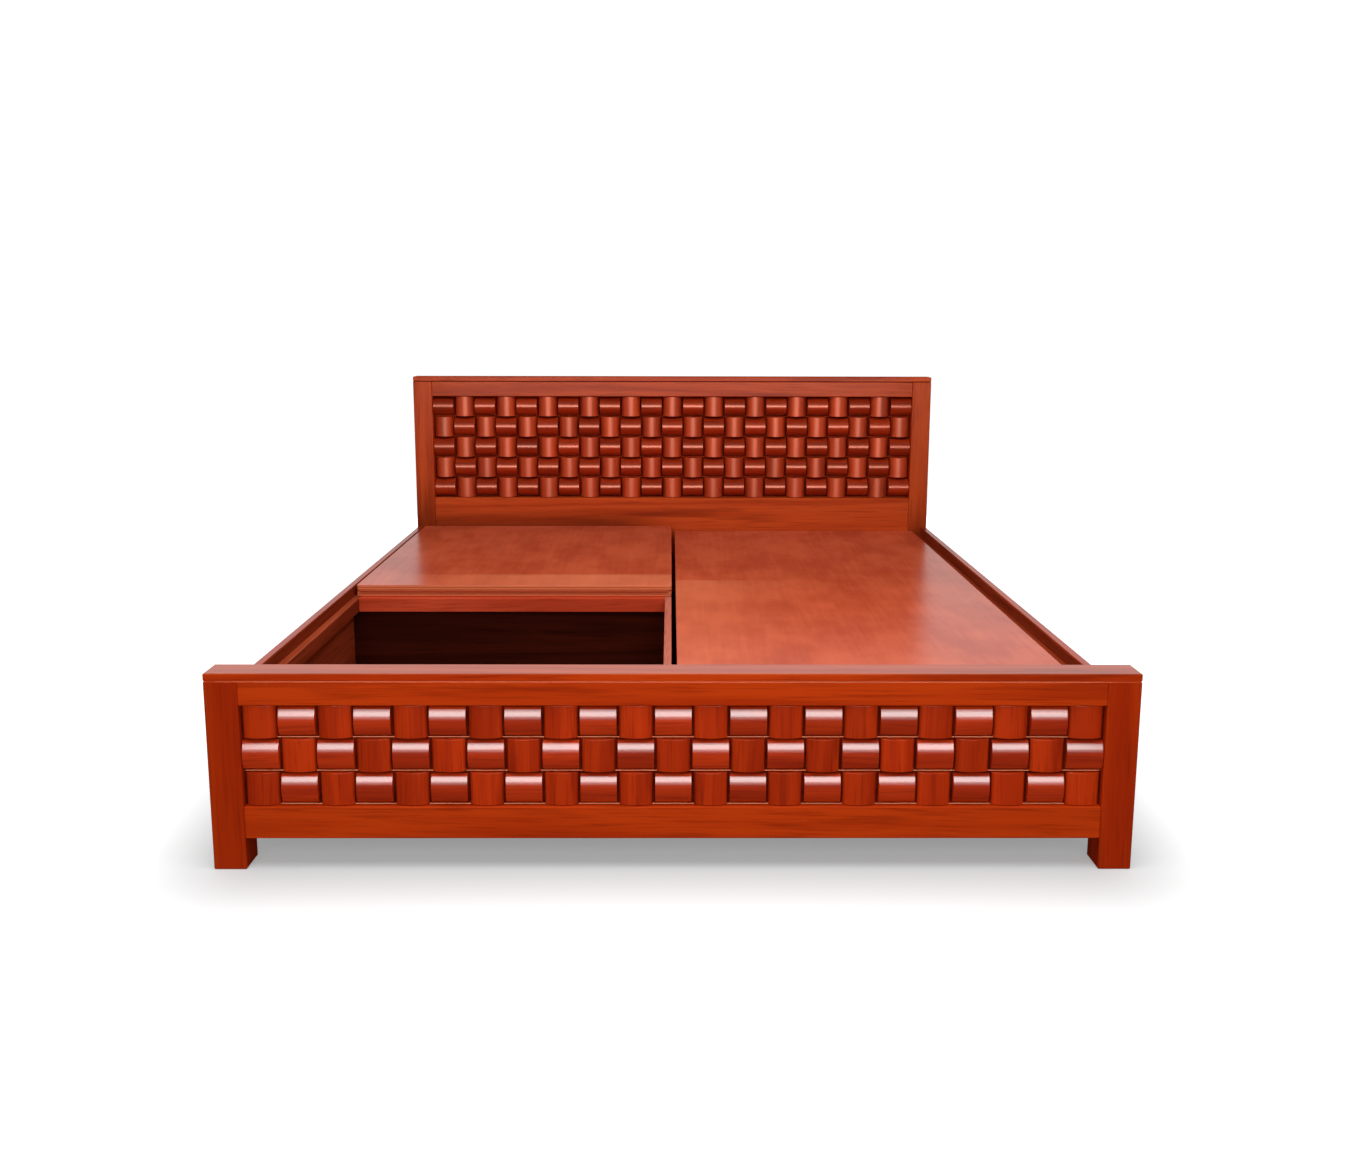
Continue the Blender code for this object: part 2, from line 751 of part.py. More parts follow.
def hinge_leaf(name, first_knuckle, above, parent):
    """One leaf of the piano hinge: a flat strip whose tongues curl round the pin.

    It is modelled about the pin's axis, below it, and turned over for the upper leaf.
    """
    pitch = (HINGE_HIGH_X - HINGE_LOW_X) / HINGE_KNUCKLES
    stations = [HINGE_LOW_X]
    tongues = []
    for index in range(first_knuckle, HINGE_KNUCKLES, 2):
        start = HINGE_LOW_X + index * pitch + HINGE_KNUCKLE_GAP / 2
        stop = HINGE_LOW_X + (index + 1) * pitch - HINGE_KNUCKLE_GAP / 2
        tongues.append(len(stations))
        stations += [start, stop]
    stations.append(HINGE_HIGH_X)
    bm = bmesh.new()
    top_z = -HINGE_BORE_RADIUS
    low_z = -HINGE_OUTER_RADIUS
    front_top = [bm.verts.new((x, HINGE_EDGE, top_z)) for x in stations]
    front_low = [bm.verts.new((x, HINGE_EDGE, low_z)) for x in stations]
    back_top = [bm.verts.new((x, HINGE_LEAF_WIDTH, top_z)) for x in (HINGE_LOW_X, HINGE_HIGH_X)]
    back_low = [bm.verts.new((x, HINGE_LEAF_WIDTH, low_z)) for x in (HINGE_LOW_X, HINGE_HIGH_X)]
    front = []
    for index in range(len(stations) - 1):
        corners = (front_low[index], front_low[index + 1], front_top[index + 1], front_top[index])
        front.append(bm.faces.new(corners))
    bm.faces.new((*front_top, back_top[1], back_top[0]))
    bm.faces.new((*front_low, back_low[1], back_low[0]))
    bm.faces.new((front_low[0], front_top[0], back_top[0], back_low[0]))
    bm.faces.new((front_low[-1], front_top[-1], back_top[1], back_low[1]))
    bm.faces.new((back_low[0], back_low[1], back_top[1], back_top[0]))
    bend = Matrix.Rotation(-HINGE_CURL / HINGE_CURL_STEPS, 3, "X")
    for index in tongues:
        face = bmesh.ops.extrude_discrete_faces(bm, faces=[front[index]])["faces"][0]
        bmesh.ops.translate(bm, vec=(0.0, -HINGE_EDGE, 0.0), verts=face.verts)
        for _ in range(HINGE_CURL_STEPS):
            face = bmesh.ops.extrude_discrete_faces(bm, faces=[face])["faces"][0]
            bmesh.ops.rotate(bm, matrix=bend, verts=face.verts)
    if above:
        bmesh.ops.scale(bm, vec=(1.0, 1.0, -1.0), verts=bm.verts)
    bmesh.ops.recalc_face_normals(bm, faces=bm.faces)
    leaf = add_object(name, bm, parent, (0.0, 0.0, HINGE_AXIS_Z))
    leaf.data.materials.append(HINGE_STEEL)
    return leaf


def hinge_pin(name, parent):
    """The rod through all the knuckles."""
    bm = bmesh.new()
    bmesh.ops.create_cone(
        bm,
        cap_ends=True,
        segments=ROUND_SIDES,
        radius1=HINGE_PIN_RADIUS,
        radius2=HINGE_PIN_RADIUS,
        depth=HINGE_HIGH_X - HINGE_LOW_X,
    )
    bmesh.ops.rotate(bm, matrix=Matrix.Rotation(math.radians(90), 3, "Y"), verts=bm.verts)
    for face in bm.faces:
        face.smooth = len(face.verts) == 4
    place = ((HINGE_LOW_X + HINGE_HIGH_X) / 2, 0.0, HINGE_AXIS_Z)
    add_object(name, bm, parent, place).data.materials.append(HINGE_STEEL)


hinge_leaf("hinge_head_leaf", 0, False, LEFT_LID_LIFT)
hinge_leaf("hinge_foot_leaf", 1, True, LEFT_LID_FOLD)
hinge_pin("hinge_pin", LEFT_LID_LIFT)
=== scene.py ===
# %% [markdown]
# # A storage bed with basket-woven ends
# This lesson dresses a finished bed. The frame already holds every rail, post, lid and hinge at
# its real size, so the work here is the surface of things: red-stained wood under lacquer, the
# round blocks of the weave, and the light that makes the lacquer shine.

# %% Load the bed
import math
import random

import bmesh
import bpy
from mathutils import Matrix, Vector


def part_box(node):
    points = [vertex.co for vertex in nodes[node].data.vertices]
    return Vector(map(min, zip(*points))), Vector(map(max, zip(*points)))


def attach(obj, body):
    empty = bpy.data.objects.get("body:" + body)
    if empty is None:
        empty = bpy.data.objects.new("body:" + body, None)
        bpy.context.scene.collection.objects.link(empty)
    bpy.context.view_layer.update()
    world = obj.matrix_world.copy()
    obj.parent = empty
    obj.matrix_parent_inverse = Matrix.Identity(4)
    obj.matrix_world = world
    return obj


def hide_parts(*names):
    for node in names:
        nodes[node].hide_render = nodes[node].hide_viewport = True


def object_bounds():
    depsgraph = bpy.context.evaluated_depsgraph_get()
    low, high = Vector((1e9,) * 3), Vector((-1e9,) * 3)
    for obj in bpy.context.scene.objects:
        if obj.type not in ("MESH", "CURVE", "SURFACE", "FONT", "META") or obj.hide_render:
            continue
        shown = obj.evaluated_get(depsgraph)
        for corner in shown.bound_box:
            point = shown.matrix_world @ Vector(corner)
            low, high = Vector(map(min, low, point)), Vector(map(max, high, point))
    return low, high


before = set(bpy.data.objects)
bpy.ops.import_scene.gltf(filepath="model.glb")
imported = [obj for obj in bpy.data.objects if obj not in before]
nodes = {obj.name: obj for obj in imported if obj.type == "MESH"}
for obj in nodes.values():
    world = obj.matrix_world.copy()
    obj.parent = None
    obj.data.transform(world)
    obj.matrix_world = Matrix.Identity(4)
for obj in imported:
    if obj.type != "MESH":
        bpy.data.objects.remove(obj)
cad_low, cad_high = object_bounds()
print("bed", [round(value, 3) for value in cad_high - cad_low], "m,", len(nodes), "pieces")

# %% [markdown]
# ## Two small helpers
# Colours are easiest to choose as the hex values of a screen, but a shader works with linear
# light, so one function converts them. A second one adds a shader node with its settings and
# links in a single line, which keeps each material readable.

# %% Helpers for colours and nodes
MM = 0.001


def linear(hex_colour):
    """A screen colour such as '#A8340F' as linear red, green, blue and alpha."""
    shares = [int(hex_colour[start:start + 2], 16) / 255 for start in (1, 3, 5)]
    light = [s / 12.92 if s <= 0.04045 else ((s + 0.055) / 1.055) ** 2.4 for s in shares]
    return (*light, 1.0)


def add(tree, kind, inputs=None, **settings):
    """A shader node: settings are its own options, inputs are values or sockets to link."""
    node = tree.nodes.new(kind)
    for name, value in settings.items():
        setattr(node, name, value)
    for key, value in (inputs or {}).items():
        if isinstance(value, bpy.types.NodeSocket):
            tree.links.new(value, node.inputs[key])
        else:
            node.inputs[key].default_value = value
    return node


print("stain sample", [round(value, 3) for value in linear("#A8340F")])

# %% [markdown]
# ## The camera
# The photograph was taken from beyond the foot end, a little above eye level of someone sitting,
# looking slightly down. Its picture was cropped lower than the lens pointed, which a small
# vertical shift repeats. The numbers are the lens and the place that make the bed's own corners
# fall where the photograph has them.

# %% Camera
IMAGE_WIDTH = 1353
FOCAL_PIXELS = 1188.5
AXIS_ABOVE_MIDDLE_PIXELS = 74.4
SENSOR_WIDTH = 36.0
CAMERA_PLACE = Vector((-0.0066, -3.386, 1.137))
CAMERA_PITCH = math.radians(9.155)
CAMERA_YAW = math.radians(0.295)
CAMERA_ROLL = math.radians(0.117)

lens = bpy.data.cameras.new("photo_camera")
lens.sensor_width = SENSOR_WIDTH
lens.lens = SENSOR_WIDTH * FOCAL_PIXELS / IMAGE_WIDTH
lens.shift_y = -AXIS_ABOVE_MIDDLE_PIXELS / IMAGE_WIDTH
camera = bpy.data.objects.new("photo_camera", lens)
bpy.context.scene.collection.objects.link(camera)
turn = Matrix.Rotation(-CAMERA_YAW, 4, "Z")
tilt = Matrix.Rotation(math.radians(90) - CAMERA_PITCH, 4, "X")
lean = Matrix.Rotation(CAMERA_ROLL, 4, "Z")
camera.matrix_world = Matrix.Translation(CAMERA_PLACE) @ turn @ tilt @ lean
bpy.context.scene.camera = camera
bpy.context.scene.view_settings.view_transform = "Standard"
print("lens", round(lens.lens, 2), "mm")

# %% [markdown]
# ## Studio light
# The white surround is a plain sky. Rays from the camera, and rays mirrored by lacquer, see it
# as white, while the light that it sheds on the bed is a softer fill. Lacquer mirrors the white
# only from the height of a wall: below it lies the dark ground of a room and above it a dark
# ceiling, which keeps the red of upright boards and of round blocks deep.

# %% Sky
SKY_FILL = 0.24
ROOM_DARK = 0.04
WALL_TOP = 0.45

world = bpy.data.worlds.new("white_studio")
bpy.context.scene.world = world
world.use_nodes = True
sky = world.node_tree
sky.nodes.clear()


def seen_directly(tree):
    """1 for rays that show a surface itself: straight, mirrored or through glass."""
    path = add(tree, "ShaderNodeLightPath").outputs
    mirrored = add(
        tree,
        "ShaderNodeMath",
        {0: path["Is Camera Ray"], 1: path["Is Glossy Ray"]},
        operation="MAXIMUM",
    )
    either = add(
        tree,
        "ShaderNodeMath",
        {0: mirrored.outputs[0], 1: path["Is Transmission Ray"]},
        operation="MAXIMUM",
    )
    return either.outputs[0]


fill = add(sky, "ShaderNodeBackground", {"Color": linear("#FFFFFF"), "Strength": SKY_FILL})
white = add(sky, "ShaderNodeBackground", {"Color": linear("#FFFFFF"), "Strength": 1.0})
dark = add(sky, "ShaderNodeBackground", {"Color": linear("#FFFFFF"), "Strength": ROOM_DARK})
shown = add(
    sky,
    "ShaderNodeMixShader",
    {0: seen_directly(sky), 1: fill.outputs[0], 2: white.outputs[0]},
)
direction = add(sky, "ShaderNodeTexCoord").outputs["Generated"]
upward = add(sky, "ShaderNodeSeparateXYZ", {0: direction}).outputs["Z"]
on_wall = add(
    sky,
    "ShaderNodeMath",
    {0: upward, 1: WALL_TOP / 2, 2: WALL_TOP / 2},
    operation="COMPARE",
)
mirrored = add(sky, "ShaderNodeLightPath").outputs["Is Glossy Ray"]
off_wall = add(
    sky,
    "ShaderNodeMath",
    {0: mirrored, 1: on_wall.outputs[0]},
    operation="SUBTRACT",
    use_clamp=True,
)
room = add(
    sky,
    "ShaderNodeMixShader",
    {0: off_wall.outputs[0], 1: shown.outputs[0], 2: dark.outputs[0]},
)
add(sky, "ShaderNodeOutputWorld", {"Surface": room.outputs[0]})
print("sky fill", SKY_FILL)

# %% [markdown]
# Soft boxes do the rest. One hangs over the foot end, so the lids grow darker towards the
# headboard. Another stands behind the camera like a wide open shop front. The shiny round blocks
# mirror that opening, which is what draws the pale bands on them. What they mirror is not even,
# so the mirrored light comes from three panels of its own, just behind: the bright street, the
# dimmer sky over it, and below both the glare of a polished floor. Only the two ends of the bed
# receive that light, because the flat lids would turn white with it in a view from behind. For
# such views a weaker soft box stands behind the headboard, which hides it from the lids.

# %% Soft boxes
FRONT_WIDTH = 3.7
FRONT_Y = -3.56
FRONT_LOW = 0.02
FRONT_SILL = 0.42
FRONT_HEAD = 1.25
FRONT_TOP = 2.10
FRONT_RADIANCE = 2.2
SHINE_SET_BACK = 30 * MM
GLARE_SHINE = 2.6
STREET_SHINE = 13.0
SKY_SHINE = 5.0
DAYLIGHT = "#F2FFFF"
OVERHEAD_SIZE = (3.0, 2.0)
OVERHEAD_PLACE = (0.0, -1.25, 2.3)
OVERHEAD_RADIANCE = 3.3
BACK_SIZE = (3.2, 1.2)
BACK_PLACE = (0.0, 3.4, 0.7)
BACK_RADIANCE = 3.0
LOOKS_DOWN = 0
LOOKS_BACK = 90
LOOKS_FORWARD = -90


def soft_box(name, size, place, tilt_degrees, radiance):
    """A flat rectangular lamp; radiance is how bright its face is, with 1 as paper white."""
    lamp = bpy.data.lights.new(name, "AREA")
    lamp.shape = "RECTANGLE"
    lamp.size, lamp.size_y = size
    lamp.energy = radiance * math.pi * size[0] * size[1]
    obj = bpy.data.objects.new(name, lamp)
    obj.location = place
    obj.rotation_euler.x = math.radians(tilt_degrees)
    obj.visible_camera = False
    bpy.context.scene.collection.objects.link(obj)
    return obj


def front_panel(name, low, high, radiance, set_back=0.0):
    """A soft box that stands behind the camera, between two heights."""
    size = (FRONT_WIDTH, high - low)
    return soft_box(name, size, (0.0, FRONT_Y - set_back, (low + high) / 2), LOOKS_BACK, radiance)


overhead = soft_box("overhead_soft_box", OVERHEAD_SIZE, OVERHEAD_PLACE, LOOKS_DOWN, OVERHEAD_RADIANCE)
overhead.visible_glossy = False
soft_box("back_fill", BACK_SIZE, BACK_PLACE, LOOKS_FORWARD, BACK_RADIANCE).visible_glossy = False
shine_receivers = bpy.data.collections.new("pieces_that_mirror_the_street")
front_panel("shop_front_light", FRONT_LOW, FRONT_TOP, FRONT_RADIANCE).visible_glossy = False
for name, low, high, radiance in (
    ("floor_glare_shine", 0.0, FRONT_SILL, GLARE_SHINE),
    ("street_shine", FRONT_SILL, FRONT_HEAD, STREET_SHINE),
    ("sky_shine", FRONT_HEAD, FRONT_TOP, SKY_SHINE),
):
    panel = front_panel(name, low, high, radiance, SHINE_SET_BACK)
    panel.visible_diffuse = False
    panel.data.color = linear(DAYLIGHT)[:3]
    panel.light_linking.receiver_collection = shine_receivers

# %% [markdown]
# ## The floor
# The bed stands on a pale studio floor. The floor is a matt surface, so it takes the bed's soft
# shadow. Away from the bed it also glows a little for the camera, so that it meets the white
# surround without a line, and close to the bed that glow fades and the shadow stays. The light
# that the floor throws back at the bed is greyer than it looks, and lacquer does not mirror it,
# because a floor that is whiter than any real one would wash out the red of the wood.

# %% Floor
FLOOR_REACH = 40.0
FLOOR_BELOW = 0.2 * MM
FLOOR_SEEN = "#BCBEBE"
FLOOR_BOUNCE = "#8C8C8C"
GLOW_NEAR = 0.27
GLOW_FAR = 0.92
GLOW_FADE = 0.54
GLOW_INSET = 0.11

bm = bmesh.new()
bmesh.ops.create_grid(bm, x_segments=1, y_segments=1, size=FLOOR_REACH)
floor_mesh = bpy.data.meshes.new("studio_floor")
bm.to_mesh(floor_mesh)
bm.free()
floor = bpy.data.objects.new("studio_floor", floor_mesh)
floor.location.z = -FLOOR_BELOW
bpy.context.scene.collection.objects.link(floor)
floor.visible_glossy = False

floor_paint = bpy.data.materials.new("matt_pale_floor_paint")
floor_paint.use_nodes = True
tree = floor_paint.node_tree
tree.nodes.clear()
place = add(tree, "ShaderNodeTexCoord").outputs["Object"]
mirrored_place = add(tree, "ShaderNodeVectorMath", {0: place}, operation="ABSOLUTE")
past_edge = add(
    tree,
    "ShaderNodeVectorMath",
    {0: mirrored_place.outputs[0], 1: cad_high - Vector((GLOW_INSET, 0.0, 0.0))},
    operation="SUBTRACT",
)
outside = add(
    tree,
    "ShaderNodeVectorMath",
    {0: past_edge.outputs[0], 1: (0.0, 0.0, 0.0)},
    operation="MAXIMUM",
)
distance = add(tree, "ShaderNodeVectorMath", {0: outside.outputs[0]}, operation="LENGTH")
glow = add(
    tree,
    "ShaderNodeMapRange",
    {
        "Value": distance.outputs["Value"],
        "From Max": GLOW_FADE,
        "To Min": GLOW_NEAR,
        "To Max": GLOW_FAR,
    },
    interpolation_type="SMOOTHSTEP",
)
direct = add(tree, "ShaderNodeLightPath").outputs["Is Camera Ray"]
strength = add(tree, "ShaderNodeMath", {0: glow.outputs[0], 1: direct}, operation="MULTIPLY")
colour = add(
    tree,
    "ShaderNodeMix",
    {0: direct, 6: linear(FLOOR_BOUNCE), 7: linear(FLOOR_SEEN)},
    data_type="RGBA",
)
matt = add(tree, "ShaderNodeBsdfDiffuse", {"Color": colour.outputs[2]})
light = add(tree, "ShaderNodeEmission", {"Color": linear("#FFFFFF"), "Strength": strength.outputs[0]})
both = add(tree, "ShaderNodeAddShader", {0: matt.outputs[0], 1: light.outputs[0]})
add(tree, "ShaderNodeOutputMaterial", {"Surface": both.outputs[0]})
floor_mesh.materials.append(floor_paint)
print("floor", 2 * FLOOR_REACH, "m across")

# %% [markdown]
# ## Stained mahogany under lacquer
# The bed is red hardwood, stained orange-red and sprayed with a semi-gloss lacquer. To the eye
# that gives three things: long soft bands of lighter and darker wood with a dark flame here and
# there, fine darker fibres along the grain, and a clear skin that mirrors the room. The bands
# are contour lines of a noise field that is stretched along the board, much as a saw shows the
# growth rings of a tree. A different part of that field is used on each board, turned by a few
# degrees, because no two boards come from the same place in the log.
#
# The lacquer is the shader's coat layer. The flat boards were rubbed down between coats, so only
# a small share of the gloss is left on them, while lids, edges and round blocks keep more of it.

# %% Wood grain sizes
AXES = {"x": 0, "y": 1, "z": 2}
BAND_WIDTH = 110 * MM
BAND_LENGTH = 2600 * MM
BANDS_PER_FIELD = 5.0
FLAME_WIDTH = 45 * MM
FLAME_LENGTH = 520 * MM
# real fibres are about 1 mm wide; they are drawn coarser so that they show in the picture
FIBRE_WIDTH = 4.5 * MM
FIBRE_LENGTH = 170 * MM
FIBRE_RELIEF = 0.3 * MM
GRAIN_SLOPE = math.radians(4)
BOARD_SHIFT = 23.0
TONE_RANGE = 0.10
LACQUER_INDEX = 1.6
RUBBED = 0.04
HEAD_RUBBED = 0.06
SATIN = 0.2
BARE = 0.0
# share of the colour that is left where painted shade is deepest
SHADED_SHARE = 0.40


def per_length(grain, across, along):
    """Scale for noise cells of this width across the grain and this length along it."""
    scale = [1 / across] * 3
    scale[AXES[grain]] = 1 / along
    return scale


def board_number(tree, blocks):
    """A number from 0 to 1 that differs from board to board, or from block to block."""
    if blocks:
        return add(tree, "ShaderNodeAttribute", attribute_name="block_number").outputs["Fac"]
    return add(tree, "ShaderNodeObjectInfo").outputs["Random"]


def grain_noise(tree, place, grain, across, along, detail):
    """A noise field from 0 to 1 whose cells lie along the grain."""
    stretched = add(
        tree,
        "ShaderNodeVectorMath",
        {0: place, 1: per_length(grain, across, along)},
        operation="MULTIPLY",
    )
    field = add(
        tree,
        "ShaderNodeTexNoise",
        {"Vector": stretched.outputs[0], "Scale": 1.0, "Detail": detail, "Roughness": 0.55},
    )
    return field.outputs["Fac"]


print("lacquer mirrors", round(((LACQUER_INDEX - 1) / (LACQUER_INDEX + 1)) ** 2, 4), "straight on")

# %% [markdown]
# The material puts the layers on top of each other: bands of two stain tones, then the flames,
# then the fibres, and last a tone of its own for each board. Where a board gets painted shade, its
# colour is darkened along one or two directions, and the lighter of the two counts.

# %% Wood material
HALF_BAND = 0.5
FLAME_FROM = 0.56
FLAME_FULL = 0.72
FLAME_SHARE = 0.55
FIBRE_FROM = 0.50
FIBRE_FULL = 0.78
FIBRE_SHARE = 0.70
BOARD_BUMP = 0.05
BLOCK_BUMP = 0.004
UNDER_LACQUER = 0.6


def stained_wood(name, grain, light, dark, fibre, gloss=RUBBED, satin=SATIN, blocks=False, painted_shade=None):
    """Lacquered wood: two stain tones in bands along the grain, with flames and fibres."""
    material = bpy.data.materials.new(name)
    material.use_nodes = True
    tree = material.node_tree
    shader = tree.nodes["Principled BSDF"]
    number = board_number(tree, blocks)
    place = add(tree, "ShaderNodeTexCoord").outputs["Object"]
    slope = add(
        tree,
        "ShaderNodeMapRange",
        {"Value": number, "To Min": -GRAIN_SLOPE, "To Max": GRAIN_SLOPE},
    )
    sloped = add(
        tree,
        "ShaderNodeVectorRotate",
        {"Vector": place, "Axis": (1.0, 1.0, 1.0), "Angle": slope.outputs[0]},
    )
    shift = add(tree, "ShaderNodeMath", {0: number, 1: BOARD_SHIFT}, operation="MULTIPLY")
    moved = add(tree, "ShaderNodeVectorMath", {0: sloped.outputs[0], 1: shift.outputs[0]}).outputs[0]
    rings = grain_noise(tree, moved, grain, BAND_WIDTH, BAND_LENGTH, 2.0)
    flames = grain_noise(tree, moved, grain, FLAME_WIDTH, FLAME_LENGTH, 3.0)
    fibres = grain_noise(tree, moved, grain, FIBRE_WIDTH, FIBRE_LENGTH, 3.0)
    contours = add(tree, "ShaderNodeMath", {0: rings, 1: BANDS_PER_FIELD}, operation="MULTIPLY")
    bands = add(tree, "ShaderNodeMath", {0: contours.outputs[0], 1: HALF_BAND}, operation="PINGPONG")
    band_share = add(
        tree,
        "ShaderNodeMapRange",
        {"Value": bands.outputs[0], "From Max": HALF_BAND},
        interpolation_type="SMOOTHSTEP",
    )
    stain = add(
        tree,
        "ShaderNodeMix",
        {0: band_share.outputs[0], 6: linear(dark), 7: linear(light)},
        data_type="RGBA",
    )
    flame_share = add(
        tree,
        "ShaderNodeMapRange",
        {"Value": flames, "From Min": FLAME_FROM, "From Max": FLAME_FULL, "To Max": FLAME_SHARE},
        interpolation_type="SMOOTHSTEP",
    )
    flamed = add(
        tree,
        "ShaderNodeMix",
        {0: flame_share.outputs[0], 6: stain.outputs[2], 7: linear(fibre)},
        data_type="RGBA",
    )
    fibre_share = add(
        tree,
        "ShaderNodeMapRange",
        {"Value": fibres, "From Min": FIBRE_FROM, "From Max": FIBRE_FULL, "To Max": FIBRE_SHARE},
    )
    lined = add(
        tree,
        "ShaderNodeMix",
        {0: fibre_share.outputs[0], 6: flamed.outputs[2], 7: linear(fibre)},
        data_type="RGBA",
    )
    tone = add(
        tree,
        "ShaderNodeMapRange",
        {"Value": number, "To Min": 1 - TONE_RANGE, "To Max": 1 + TONE_RANGE},
    )
    toned = add(
        tree,
        "ShaderNodeVectorMath",
        {0: lined.outputs[2], "Scale": tone.outputs[0]},
        operation="SCALE",
    )
    relief = add(
        tree,
        "ShaderNodeBump",
        {
            "Height": fibres,
            "Strength": BLOCK_BUMP if blocks else BOARD_BUMP,
            "Distance": FIBRE_RELIEF,
        },
    )
    # painted shade: the colour darkens along one or two directions, and the lighter share counts
    if painted_shade:
        spot = add(tree, "ShaderNodeSeparateXYZ", {0: place}).outputs
        least_shaded = 0.0
        for side, (shaded_end, lit_end) in painted_shade.items():
            share = add(
                tree,
                "ShaderNodeMapRange",
                {"Value": spot[side], "From Min": shaded_end, "From Max": lit_end, "To Min": SHADED_SHARE},
                interpolation_type="SMOOTHSTEP",
            )
            both = {0: share.outputs[0], 1: least_shaded}
            least_shaded = add(tree, "ShaderNodeMath", both, operation="MAXIMUM").outputs[0]
        toned = add(
            tree,
            "ShaderNodeVectorMath",
            {0: toned.outputs[0], "Scale": least_shaded},
            operation="SCALE",
        )
    tree.links.new(toned.outputs[0], shader.inputs["Base Color"])
    tree.links.new(relief.outputs[0], shader.inputs["Normal"])
    shader.inputs["Roughness"].default_value = UNDER_LACQUER
    shader.inputs["Specular IOR Level"].default_value = 0.0
    shader.inputs["Coat Weight"].default_value = gloss
    shader.inputs["Coat IOR"].default_value = LACQUER_INDEX
    shader.inputs["Coat Roughness"].default_value = satin
    return material


def stain_the_gloss(material, share, satin, tint):
    """Replaces the clear coat by a mirror layer in a colour, with a share of its strength."""
    shader = material.node_tree.nodes["Principled BSDF"]
    shader.inputs["Coat Weight"].default_value = 0.0
    shader.inputs["IOR"].default_value = LACQUER_INDEX
    shader.inputs["Specular IOR Level"].default_value = share / 2
    shader.inputs["Specular Tint"].default_value = linear(tint)
    shader.inputs["Roughness"].default_value = satin


# %% [markdown]
# The stain isn't the same everywhere. In the photograph the posts of the footboard are the
# darkest and the headboard is lighter, so each group has three tones of its own. The inside of
# the box is painted nearly black, as painted shade. Gloss says how much of the lacquer's shine is left.

# %% Stains
FULL_GLOSS = 0.6
CAP_GLOSS = 0.74
CAP_SATIN = 0.1
BEAD_GLOSS = {"share": 0.30, "satin": 0.15, "tint": "#FFB490"}
FRAME_STAIN = {"light": "#BA3A0C", "dark": "#A62E09", "fibre": "#761C06"}
CAP_STAIN = {"light": "#A53E12", "dark": "#94320E", "fibre": "#6A200A"}
POST_STAIN = {"light": "#A83009", "dark": "#982607", "fibre": "#741A06"}
HEAD_STAIN = {"light": "#C64C1E", "dark": "#B23E16", "fibre": "#82280C"}
RAIL_STAIN = {"light": "#B03A12", "dark": "#9E300E", "fibre": "#741E08"}
# the inside of the box is painted nearly black: painted shade
BOX_SHADE_STAIN = {"light": "#42150A", "dark": "#340F07", "fibre": "#220904"}
BEARER_STAIN = {"light": "#C4482C", "dark": "#B23C22", "fibre": "#8C2A16"}
# inside faces are bare wood, and their darker tone is painted shade
INSIDE_SHADE_STAIN = {"light": "#94381E", "dark": "#822E16", "fibre": "#5A1E0A"}
# the paler top of the left ledge is painted light
LIT_LEDGE_STAIN = {"light": "#A84A2E", "dark": "#943E22", "fibre": "#6C2812"}
# the paler top of the wall beside the open box is painted light
LIT_WALL_TOP_STAIN = {"light": "#BC6854", "dark": "#A85A46", "fibre": "#80402E"}
frame_wood = {}
head_wood = {}
rail_wood = {}
post_wood = {}
shaded_box_wood = {}
for grain in AXES:
    frame_wood[grain] = stained_wood(f"lacquered_mahogany_{grain}", grain, **FRAME_STAIN)
    head_wood[grain] = stained_wood(f"light_mahogany_{grain}", grain, gloss=HEAD_RUBBED, **HEAD_STAIN)
    rail_wood[grain] = stained_wood(f"full_gloss_mahogany_{grain}", grain, gloss=FULL_GLOSS, **RAIL_STAIN)
    post_wood[grain] = stained_wood(f"dark_mahogany_{grain}", grain, **POST_STAIN)
    shaded_box_wood[grain] = stained_wood(f"stained_plywood_{grain}", grain, gloss=BARE, **BOX_SHADE_STAIN)
cap_wood = stained_wood("full_gloss_mahogany_cap", "x", gloss=CAP_GLOSS, satin=CAP_SATIN, **CAP_STAIN)
lit_ledge_wood = stained_wood("gloss_mahogany_ledge", "y", gloss=FULL_GLOSS, **LIT_LEDGE_STAIN)
lit_wall_top_wood = stained_wood("gloss_mahogany_wall_top", "y", gloss=FULL_GLOSS, **LIT_WALL_TOP_STAIN)
bead_wood = stained_wood("pooled_lacquer_bead", "x", **FRAME_STAIN)
stain_the_gloss(bead_wood, **BEAD_GLOSS)
inside_shade_wood = stained_wood("unlacquered_shaded_mahogany", "y", gloss=BARE, **INSIDE_SHADE_STAIN)
board_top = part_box("head_lower_board")[1].z
lid_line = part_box("right_lid")[1].z
# painted shade: the left half of this board is darkened, most near the lid
SHADE_BELOW_TOP = 20 * MM
SHADE_FADES = (-0.32, 0.08)
board_shade_ranges = {"Z": (lid_line, board_top - SHADE_BELOW_TOP), "X": SHADE_FADES}
board_finish = {"gloss": HEAD_RUBBED, "painted_shade": board_shade_ranges, **HEAD_STAIN}
board_wood = stained_wood("shaded_mahogany_board", "x", **board_finish)
# the posts beside it get painted shade too, the left one more and further up
POST_SHADE = {
    "head_post_left": (lid_line - 30 * MM, lid_line + 245 * MM),
    "head_post_right": (lid_line - 105 * MM, lid_line + 145 * MM),
}
back_wood = stained_wood("stained_plywood_back", "x", gloss=BARE, **RAIL_STAIN)
bearer_wood = stained_wood("bare_mahogany_bearer", "x", gloss=BARE, **BEARER_STAIN)
print("wood finishes", len(bpy.data.materials))
